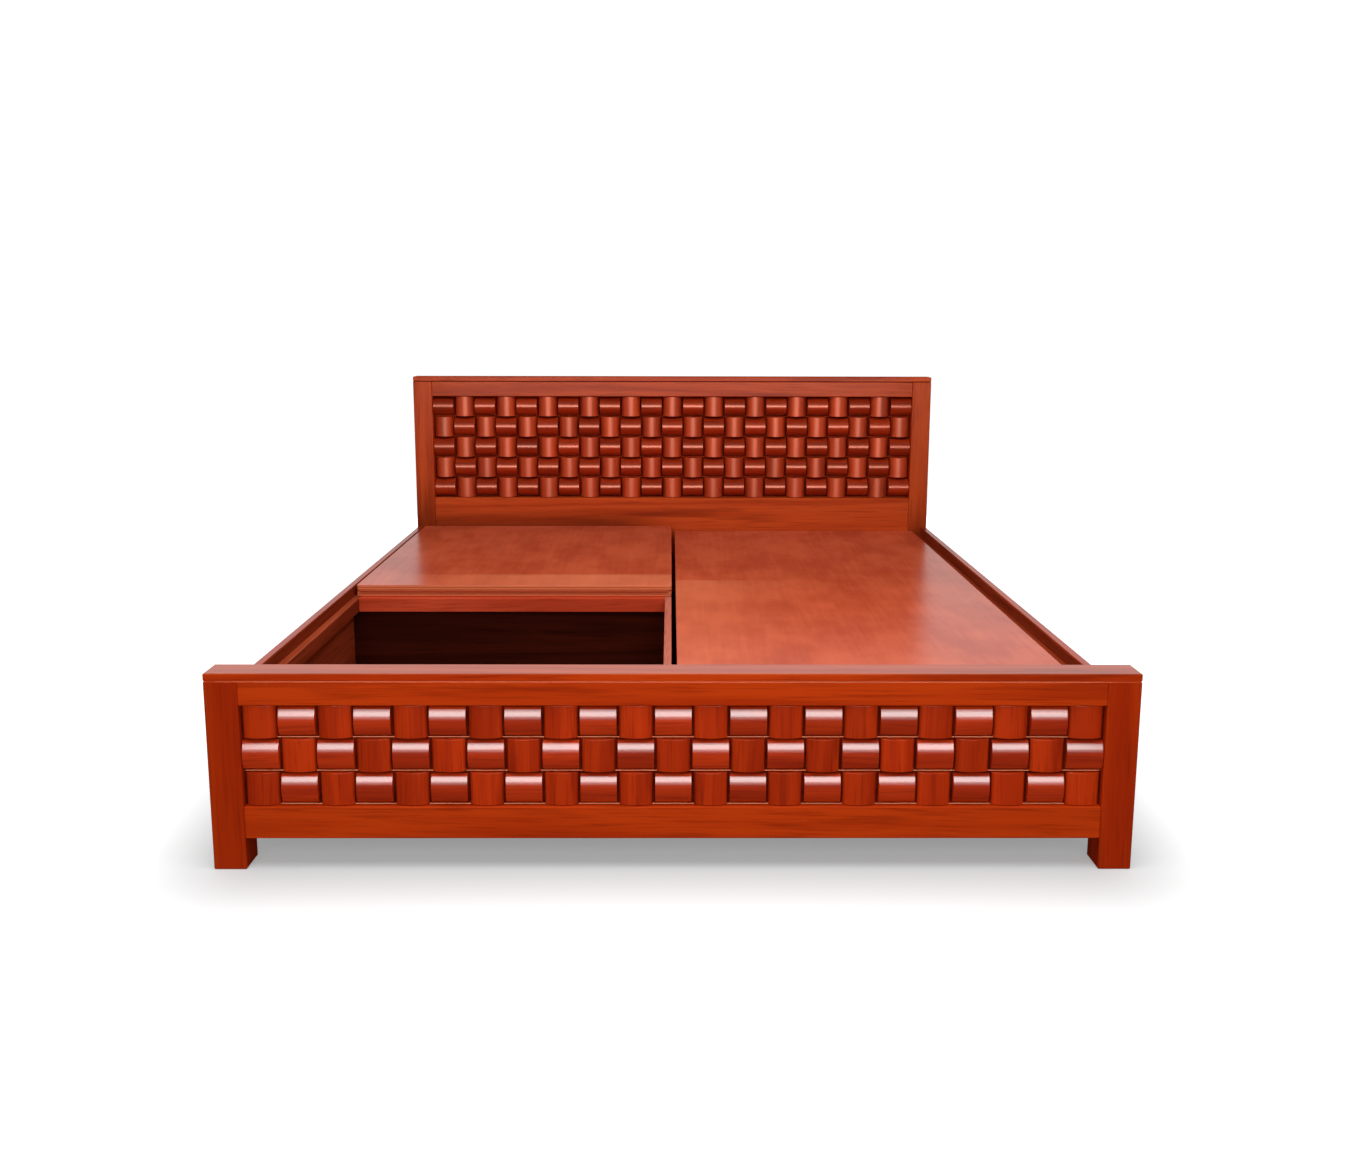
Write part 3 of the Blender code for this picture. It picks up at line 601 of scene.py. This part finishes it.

# %% [markdown]
# ## Lid boards
# The lids are plywood with a thin red veneer. A veneer takes the stain in soft clouds, with faint
# streaks along its length, and on the edges of the board the plies show as lighter and darker
# lines. The direction of the surface tells the two apart: up and down is veneer, sideways is edge.
#
# In the photograph a paler patch lies on the middle of the lids and ends towards the headboard in
# a soft line. It is painted here as a patch of light, and only on what lies open: the faces that
# look up while the left lid is folded back, not the board beneath it. What causes it can't be
# told. It is drawn here as faded veneer, and only on what lies open: the faces that look up while
# the left lid is folded back, not the board beneath it.

# %% Lid material
CLOUD_SIZE = 130 * MM
STREAK_WIDTH = 16 * MM
STREAK_LENGTH = 240 * MM
PLY_THICK = 3.2 * MM
CLOUD_STRETCH = 1.6
STREAK_SHARE = 0.35
FIGURE_FROM = 0.42
FIGURE_FULL = 0.92
VENEER_BUMP = 0.03
LID_GLOSS = 0.72
LID_SATIN = 0.26
LEVEL = 0.5
# painted light: a paler patch on the open lids, weaker towards the foot, ending in a soft line towards
# the headboard
LIT_PATCH_LINE = (0.135, 0.165)
LIT_PATCH_MIDDLE = -0.24
LIT_PATCH_SPREAD = (0.05, 0.75)
LIT_PATCH_FOOT = -0.9
LIT_PATCH_SHARE = 0.36
FOOT_SHARE = 0.17


def veneered_board(name, lit_patch, light, dark, pale, ply_light, ply_dark):
    """Lacquered veneer with clouded stain and a painted patch of light, and plies along the edges."""
    material = bpy.data.materials.new(name)
    material.use_nodes = True
    tree = material.node_tree
    shader = tree.nodes["Principled BSDF"]
    surface = add(tree, "ShaderNodeTexCoord").outputs
    number = board_number(tree, False)
    shift = add(tree, "ShaderNodeMath", {0: number, 1: BOARD_SHIFT}, operation="MULTIPLY")
    moved = add(tree, "ShaderNodeVectorMath", {0: surface["Object"], 1: shift.outputs[0]}).outputs[0]
    clouds = grain_noise(tree, moved, "y", CLOUD_SIZE, CLOUD_STRETCH * CLOUD_SIZE, 4.0)
    streaks = grain_noise(tree, moved, "y", STREAK_WIDTH, STREAK_LENGTH, 3.0)
    layers = {0: streaks, 1: STREAK_SHARE, 2: clouds}
    figure = add(tree, "ShaderNodeMath", layers, operation="MULTIPLY_ADD")
    share = add(
        tree,
        "ShaderNodeMapRange",
        {"Value": figure.outputs[0], "From Min": FIGURE_FROM, "From Max": FIGURE_FULL},
        interpolation_type="SMOOTHSTEP",
    )
    veneer = add(
        tree,
        "ShaderNodeMix",
        {0: share.outputs[0], 6: linear(dark), 7: linear(light)},
        data_type="RGBA",
    )
    # painted patch of light: only on faces that look up, strongest near the middle
    spot = add(tree, "ShaderNodeSeparateXYZ", {0: surface["Object"]}).outputs
    reached = add(
        tree,
        "ShaderNodeMapRange",
        {"Value": spot["Y"], "From Min": LIT_PATCH_LINE[1], "From Max": LIT_PATCH_LINE[0]},
        interpolation_type="SMOOTHSTEP",
    )
    toward_foot = add(
        tree,
        "ShaderNodeMapRange",
        {
            "Value": spot["Y"],
            "From Min": LIT_PATCH_FOOT,
            "From Max": LIT_PATCH_LINE[0],
            "To Min": FOOT_SHARE * lit_patch,
            "To Max": lit_patch,
        },
    )
    aside = add(tree, "ShaderNodeMath", {0: spot["X"], 1: LIT_PATCH_MIDDLE}, operation="SUBTRACT")
    beside = add(tree, "ShaderNodeMath", {0: aside.outputs[0]}, operation="ABSOLUTE")
    central = add(
        tree,
        "ShaderNodeMapRange",
        {"Value": beside.outputs[0], "From Min": LIT_PATCH_SPREAD[1], "From Max": LIT_PATCH_SPREAD[0]},
        interpolation_type="SMOOTHSTEP",
    )
    facing = add(tree, "ShaderNodeSeparateXYZ", {0: surface["Normal"]}).outputs["Z"]
    open_top = add(tree, "ShaderNodeMath", {0: facing, 1: LEVEL}, operation="GREATER_THAN")
    paler = open_top.outputs[0]
    for share_here in (reached, toward_foot, central):
        factors = {0: paler, 1: share_here.outputs[0]}
        paler = add(tree, "ShaderNodeMath", factors, operation="MULTIPLY").outputs[0]
    lit_veneer = add(
        tree,
        "ShaderNodeMix",
        {0: paler, 6: veneer.outputs[2], 7: linear(pale)},
        data_type="RGBA",
    )
    layer = add(tree, "ShaderNodeMath", {0: spot["Z"], 1: PLY_THICK}, operation="PINGPONG")
    ply_share = add(
        tree,
        "ShaderNodeMapRange",
        {"Value": layer.outputs[0], "From Max": PLY_THICK},
        interpolation_type="SMOOTHSTEP",
    )
    plies = add(
        tree,
        "ShaderNodeMix",
        {0: ply_share.outputs[0], 6: linear(ply_dark), 7: linear(ply_light)},
        data_type="RGBA",
    )
    upward = add(tree, "ShaderNodeMath", {0: facing}, operation="ABSOLUTE")
    flat = add(tree, "ShaderNodeMath", {0: upward.outputs[0], 1: LEVEL}, operation="GREATER_THAN")
    stain = add(
        tree,
        "ShaderNodeMix",
        {0: flat.outputs[0], 6: plies.outputs[2], 7: lit_veneer.outputs[2]},
        data_type="RGBA",
    )
    relief = add(
        tree,
        "ShaderNodeBump",
        {"Height": streaks, "Strength": VENEER_BUMP, "Distance": FIBRE_RELIEF},
    )
    tree.links.new(stain.outputs[2], shader.inputs["Base Color"])
    tree.links.new(relief.outputs[0], shader.inputs["Normal"])
    shader.inputs["Roughness"].default_value = UNDER_LACQUER
    shader.inputs["Specular IOR Level"].default_value = 0.0
    shader.inputs["Coat Weight"].default_value = LID_GLOSS
    shader.inputs["Coat IOR"].default_value = LACQUER_INDEX
    shader.inputs["Coat Roughness"].default_value = LID_SATIN
    return material


# pale is the colour of the painted patch of light
VENEER_STAIN = {"light": "#D05C38", "dark": "#B44426", "pale": "#FF9C70"}
PLY_STAIN = {"ply_light": "#E27C54", "ply_dark": "#B4502C"}
open_lid_wood = veneered_board("lacquered_veneer", LIT_PATCH_SHARE, **VENEER_STAIN, **PLY_STAIN)
covered_lid_wood = veneered_board("covered_veneer", 0.0, **VENEER_STAIN, **PLY_STAIN)
print("lid boards", open_lid_wood.name, covered_lid_wood.name)

# %% [markdown]
# ## Steel
# The corner angles and screws are zinc plated. That is a bare metal, so its colour is the colour
# of its mirror image, blurred by fine drawing lines along the strip. The piano hinge is steel
# too, but in the colour of the boards, as if sprayed with them, so it shows as a dull brown line.

# %% Steel material
# real drawing lines are far finer; these are as fine as the picture can show
DRAWN_LINE = 0.8 * MM
DRAWN_LENGTH = 48 * MM
WORN = 0.1


def drawn_steel(name, colour, roughness, metal):
    """Steel strip with faint drawing lines: bare plating where metal is 1, sprayed where it is 0."""
    material = bpy.data.materials.new(name)
    material.use_nodes = True
    tree = material.node_tree
    shader = tree.nodes["Principled BSDF"]
    place = add(tree, "ShaderNodeTexCoord").outputs["Object"]
    lines = grain_noise(tree, place, "x", DRAWN_LINE, DRAWN_LENGTH, 2.0)
    worn = add(
        tree,
        "ShaderNodeMapRange",
        {"Value": lines, "To Min": roughness - WORN, "To Max": roughness + WORN},
    )
    tree.links.new(worn.outputs[0], shader.inputs["Roughness"])
    shader.inputs["Base Color"].default_value = linear(colour)
    shader.inputs["Metallic"].default_value = metal
    if not metal:
        shader.inputs["Specular IOR Level"].default_value = 0.0
    return material


hinge_steel = drawn_steel("sprayed_steel", "#A8482C", 0.55, 0.0)
bracket_steel = drawn_steel("zinc_plated_steel", "#C9CBCE", 0.42, 1.0)
print("steels", hinge_steel.name, bracket_steel.name)

# %% [markdown]
# ## Dressing the pieces
# The grain of a board runs along its length, so the longest side of each piece picks the
# direction of its wood. Only the finish changes here; the pieces keep their shape and place.

# %% Finish of each piece
BOX_PIECES = ("base_", "cross_wall", "centre_beam", "centre_leg")
GLOSS_PIECES = ("side_", "cleat", "centre_wall")
STEEL_PIECES = ("bracket", "screw")
COVERED_LID = "left_head_lid"
HEAD_FRONT = ("head_cap", "head_top_rail", "head_lower_board", "head_post_left", "head_post_right")


def long_axis(name):
    """The direction in which a piece is longest."""
    low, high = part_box(name)
    size = list(high - low)
    return "xyz"[size.index(max(size))]


def finish_of(name):
    """The material that a piece takes, by its name."""
    if name.startswith("hinge"):
        return hinge_steel
    if any(word in name for word in STEEL_PIECES):
        return bracket_steel
    if name == COVERED_LID:
        return covered_lid_wood
    if name.endswith("lid"):
        return open_lid_wood
    if any(word in name for word in BOX_PIECES):
        return shaded_box_wood[long_axis(name)]
    if name.endswith("back_panel"):
        return back_wood
    if "bearer" in name:
        return bearer_wood
    if name.startswith("side_cleat"):
        return inside_shade_wood
    if any(word in name for word in GLOSS_PIECES):
        return rail_wood[long_axis(name)]
    if name.startswith("foot_post"):
        return post_wood[long_axis(name)]
    if name == "head_lower_board":
        return board_wood
    if name.startswith("head"):
        return head_wood[long_axis(name)]
    return frame_wood[long_axis(name)]


for name, obj in nodes.items():
    obj.data.materials.clear()
    obj.data.materials.append(finish_of(name))
    if name in HEAD_FRONT:
        shine_receivers.objects.link(obj)
print("dressed", len(nodes), "pieces")

# %% [markdown]
# In the photograph the inner face of a side rail is darker and duller than the rest, and so are
# the ledges: the duller finish is bare wood, the darker tone is painted shade. The tops of the left
# ledge, of the wall beside the open box and of the footboard's cap are paler and mirror the light;
# on the ledge and the wall top the paler colour is painted light. The front of the head posts is
# darkened just over the lids with painted shade. Such a face gets a finish of its own, picked by
# where it looks.

# %% Faces with another finish
OPEN_LEDGE = "side_cleat_left"
SAME_WAY = 0.7


def refinish(name, direction, material):
    """Gives the faces of a piece that look in one direction another finish."""
    mesh = nodes[name].data
    mesh.materials.append(material)
    picked = [face for face in mesh.polygons if face.normal.dot(direction) > SAME_WAY]
    for face in picked:
        face.material_index = 1
    print(name, len(picked), "faces in", material.name)


refinish("side_rail_left", Vector((1, 0, 0)), inside_shade_wood)
refinish("side_rail_right", Vector((-1, 0, 0)), inside_shade_wood)
refinish(OPEN_LEDGE, Vector((0, 0, 1)), lit_ledge_wood)
refinish("centre_wall_left", Vector((0, 0, 1)), lit_wall_top_wood)
refinish("foot_cap", Vector((0, 0, 1)), cap_wood)
# painted shade on the front of the head posts, just over the lids
for name, heights in POST_SHADE.items():
    post_finish = {"gloss": HEAD_RUBBED, "painted_shade": {"Z": heights}, **HEAD_STAIN}
    refinish(name, Vector((0, -1, 0)), stained_wood(f"shaded_mahogany_{name}", "z", **post_finish))

# %% [markdown]
# ## Lacquer in the joints
# Where a cap lies on the rail below it, both edges are eased, which leaves a small groove.
# Sprayed lacquer pools there, and its sloping surface shows as a thin light line along the cap.
# The bead is a three-sided rod that fills the groove, and its slope decides what it mirrors. On
# the headboard the photograph shows a dark line instead, so that bead is nearly upright and dull,
# and it takes the nearly black colour of the box inside, as a painted shadow line.

# %% Beads below the caps
BEAD_TOP = 0.9 * MM
BEAD_LOW = 1.5 * MM
BEAD_LIP = 0.6 * MM
BEAD_BACK = 2.6 * MM
BEAD_END = 3.0 * MM
BEAD_SLOPE = {"foot": math.radians(16), "head": math.radians(2.5)}
# the head bead is a painted shadow line in the nearly black colour of the box
BEAD_FINISH = {"foot": bead_wood, "head": shaded_box_wood["x"]}


def rod_faces(bm, low_x, high_x, profile):
    """Adds a closed rod along x over (y, z) corners and returns its faces."""
    rings = [[bm.verts.new((x, y, z)) for y, z in profile] for x in (low_x, high_x)]
    faces = [bm.faces.new(ring) for ring in rings]
    for index in range(len(profile)):
        corners = (rings[0][index - 1], rings[0][index], rings[1][index], rings[1][index - 1])
        faces.append(bm.faces.new(corners))
    return faces


for end, slope in BEAD_SLOPE.items():
    low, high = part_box(f"{end}_cap")
    lip = low.y + BEAD_LIP
    inner = lip + (BEAD_TOP + BEAD_LOW) * math.tan(slope)
    profile = ((inner, low.z + BEAD_TOP), (lip, low.z - BEAD_LOW), (low.y + BEAD_BACK, low.z))
    bm = bmesh.new()
    rod_faces(bm, low.x + BEAD_END, high.x - BEAD_END, profile)
    bmesh.ops.recalc_face_normals(bm, faces=bm.faces)
    mesh = bpy.data.meshes.new(f"{end}_cap_bead")
    bm.to_mesh(mesh)
    bm.free()
    mesh.materials.append(BEAD_FINISH[end])
    bead = bpy.data.objects.new(f"{end}_cap_bead", mesh)
    bpy.context.scene.collection.objects.link(bead)
    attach(bead, "frame")
    shine_receivers.objects.link(bead)
    print(bead.name, "slopes", round(math.degrees(slope)), "degrees")

# %% [markdown]
# ## The basket weave
# Each end of the bed holds a basket weave: short half-round blocks, upright and lying by turns,
# glued on a backing strip. A block is an arch with soft shoulders, pushed along a straight line,
# with its end edges rounded over. The strip between the blocks is dull, and its dark colour is
# painted shade. A pale line under each lying block is read as lacquer that pooled in the corner:
# a small sloping bead there catches the light.

# %% Weave sizes
COLUMNS = 23
STRIP_THICK = 12 * MM
SIDE_MARGIN = 4.2 * MM
END_MARGIN = 1.0 * MM
SIDE_WALL = {"foot": 5.0 * MM, "head": 0.6 * MM}
SHOULDER = {"foot": 4.5 * MM, "head": 0.8 * MM}
EDGE_ROUND = {"foot": 0.6 * MM, "head": 1.4 * MM}
EDGE_STEPS = 3
STRAIGHT_FROM = 2.0 * MM
ARCH_STEPS = 24
SUNK = 0.4 * MM
POOL_HEIGHT = 3.0 * MM
POOL_SLOPE = math.radians(17)
ROWS = {"foot": (3, True), "head": (5, False)}
FOOT_BLOCK_STAIN = {"light": "#B43208", "dark": "#A22906", "fibre": "#741804"}
HEAD_UPRIGHT_STAIN = {"light": "#BE4018", "dark": "#AA3412", "fibre": "#7A240A"}
# the headboard's lying blocks are a darker copy of the upright ones: painted shade
HEAD_LYING_SHADED_STAIN = {"light": "#A02E0E", "dark": "#8E260A", "fibre": "#661906"}
# the dark strip stands for the shade between the blocks: painted shade
STRIP_SHADE_STAIN = {"light": "#5E180A", "dark": "#4C1207", "fibre": "#340B04"}
BLOCK_SATIN = 0.15
UPRIGHT_GLOSS = 0.3
LYING_GLOSS = 0.8
POOL_GLOSS = {"share": 0.5, "satin": 0.15, "tint": "#FFB490"}
HEAD_UPRIGHT_GLOSS = {"share": 1.7, "satin": 0.42, "tint": "#FFA98E"}
HEAD_LYING_GLOSS = {"share": 1.6, "satin": 0.24, "tint": "#FFA68E"}
SHARP_EDGE = math.radians(40)

block_wood = {}
for end, upright_stain, lying_stain in (
    ("foot", FOOT_BLOCK_STAIN, FOOT_BLOCK_STAIN),
    ("head", HEAD_UPRIGHT_STAIN, HEAD_LYING_SHADED_STAIN),
):
    finish = {"satin": BLOCK_SATIN, "blocks": True}
    upright = stained_wood(f"{end}_mahogany_upright", "z", gloss=UPRIGHT_GLOSS, **finish, **upright_stain)
    lying = stained_wood(f"{end}_mahogany_lying", "x", gloss=LYING_GLOSS, **finish, **lying_stain)
    block_wood[end] = (upright, lying)
strip_shade_wood = stained_wood("bare_mahogany_strip", "x", gloss=BARE, blocks=True, **STRIP_SHADE_STAIN)
pool_wood = stained_wood("pooled_lacquer_corner", "x", blocks=True, **FRAME_STAIN)
stain_the_gloss(pool_wood, **POOL_GLOSS)

# the highlights on the headboard are peach in the photograph, so its lacquer takes a tint
head_upright, head_lying = block_wood["head"]
stain_the_gloss(head_upright, **HEAD_UPRIGHT_GLOSS)
stain_the_gloss(head_lying, **HEAD_LYING_GLOSS)


def arch(chord, rise, wall, shoulder):
    """Points of a block's cross-section from edge to edge: place across it and height.

    An arc stands on low side walls, and each corner between them is rounded to a shoulder.
    """
    half = chord / 2
    crown = rise - wall
    radius = (half * half + crown * crown) / (2 * crown)
    points = []
    for step in range(ARCH_STEPS + 1):
        across = half * math.sin(math.radians(180 * step / ARCH_STEPS - 90))
        height = rise - radius + math.sqrt(radius * radius - across * across)
        past = max(abs(across) - (half - shoulder), 0.0) / shoulder
        points.append((across, height * math.sqrt(max(1 - past * past, 0.0))))
    return points


def end_stations(length, edge):
    """Places along a block, each with how far the rounded end draws the arch in."""
    stations = []
    for step in range(EDGE_STEPS + 1):
        turn = math.radians(90) * step / EDGE_STEPS
        stations.append((edge * (1 - math.sin(turn)), edge * (1 - math.cos(turn))))
    stations.append((0.0, STRAIGHT_FROM))
    near = [(along - length / 2, drawn) for drawn, along in stations]
    far = [(length / 2 - along, drawn) for drawn, along in reversed(stations)]
    return near + far


def half_round(bm, end, middle_x, middle_z, base_y, chord, length, rise, upright):
    """Adds one closed half-round block and returns its faces."""
    rings = []
    for along, drawn in end_stations(length, EDGE_ROUND[end]):
        ring = []
        points = arch(chord - 2 * drawn, rise - drawn, SIDE_WALL[end], SHOULDER[end])
        for across, height in [(points[0][0], -SUNK), *points, (points[-1][0], -SUNK)]:
            x, z = (across, along) if upright else (along, across)
            ring.append(bm.verts.new((middle_x + x, base_y - height, middle_z + z)))
        rings.append(ring)
    faces = []
    for first, second in zip(rings, rings[1:]):
        for index in range(len(first)):
            corners = (first[index - 1], first[index], second[index], second[index - 1])
            faces.append(bm.faces.new(corners))
    faces.append(bm.faces.new(rings[0]))
    faces.append(bm.faces.new(rings[-1]))
    return faces


print("blocks", COLUMNS * sum(count for count, first in ROWS.values()))

# %% [markdown]
# A row is built as one mesh: the strip, then a block for each column, upright and lying by turns,
# and the line of lacquer below each lying block. Every block gets a number, which the wood uses
# to pick its part of the grain. The row takes the place of the plainer one in the frame.

# %% Weave rows
STRIP, UPRIGHT, LYING, POOL = range(4)
picks = random.Random(11)


def box_faces(bm, low, high):
    """Adds a closed box and returns its faces."""
    made = bmesh.ops.create_cube(bm, size=1.0)["verts"]
    bmesh.ops.scale(bm, vec=high - low, verts=made)
    bmesh.ops.translate(bm, vec=(low + high) / 2, verts=made)
    return list({face for vert in made for face in vert.link_faces})


def weave_row(end, node, first_upright):
    """The fine form of one row: its strip, its blocks and the lacquer below the lying ones."""
    low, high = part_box(node)
    front_y = high.y - STRIP_THICK
    rise = front_y - low.y
    pitch = (high.x - low.x) / COLUMNS
    height = high.z - low.z
    middle_z = (low.z + high.z) / 2
    bm = bmesh.new()
    number = bm.faces.layers.float.new("block_number")
    groups = [(STRIP, box_faces(bm, Vector((low.x, front_y, low.z)), high))]
    for column in range(COLUMNS):
        left = low.x + column * pitch
        middle_x = left + pitch / 2
        if (column % 2 == 0) == first_upright:
            chord, length = pitch - 2 * SIDE_MARGIN, height - 2 * END_MARGIN
            block = half_round(bm, end, middle_x, middle_z, front_y, chord, length, rise, True)
            groups.append((UPRIGHT, block))
        else:
            chord, length = height - 2 * SIDE_MARGIN, pitch - 2 * END_MARGIN
            block = half_round(bm, end, middle_x, middle_z, front_y, chord, length, rise, False)
            groups.append((LYING, block))
            start = max(low.x, left - SIDE_MARGIN)
            stop = min(high.x, left + pitch + SIDE_MARGIN)
            inner = front_y + SUNK
            lip = inner - POOL_HEIGHT * math.tan(POOL_SLOPE)
            pool = ((inner, low.z + POOL_HEIGHT), (lip, low.z), (inner, low.z))
            groups.append((POOL, rod_faces(bm, start, stop, pool)))
    for material_index, faces in groups:
        pick = picks.random()
        for face in faces:
            face.material_index = material_index
            face[number] = pick
            face.smooth = material_index in (UPRIGHT, LYING)
    bmesh.ops.recalc_face_normals(bm, faces=bm.faces)
    mesh = bpy.data.meshes.new(f"{node}_blocks")
    bm.to_mesh(mesh)
    bm.free()
    mesh.set_sharp_from_angle(angle=SHARP_EDGE)
    for material in (strip_shade_wood, *block_wood[end], pool_wood):
        mesh.materials.append(material)
    row = bpy.data.objects.new(f"{node}_blocks", mesh)
    bpy.context.scene.collection.objects.link(row)
    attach(row, "frame")
    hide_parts(node)
    shine_receivers.objects.link(row)
    return row


rows = []
for end, (count, first_upright) in ROWS.items():
    for index in range(count):
        upright_starts = first_upright if index % 2 == 0 else not first_upright
        rows.append(weave_row(end, f"{end}_weave_row_{index + 1}", upright_starts))
print("rows", len(rows), "with", sum(len(row.data.polygons) for row in rows), "faces")
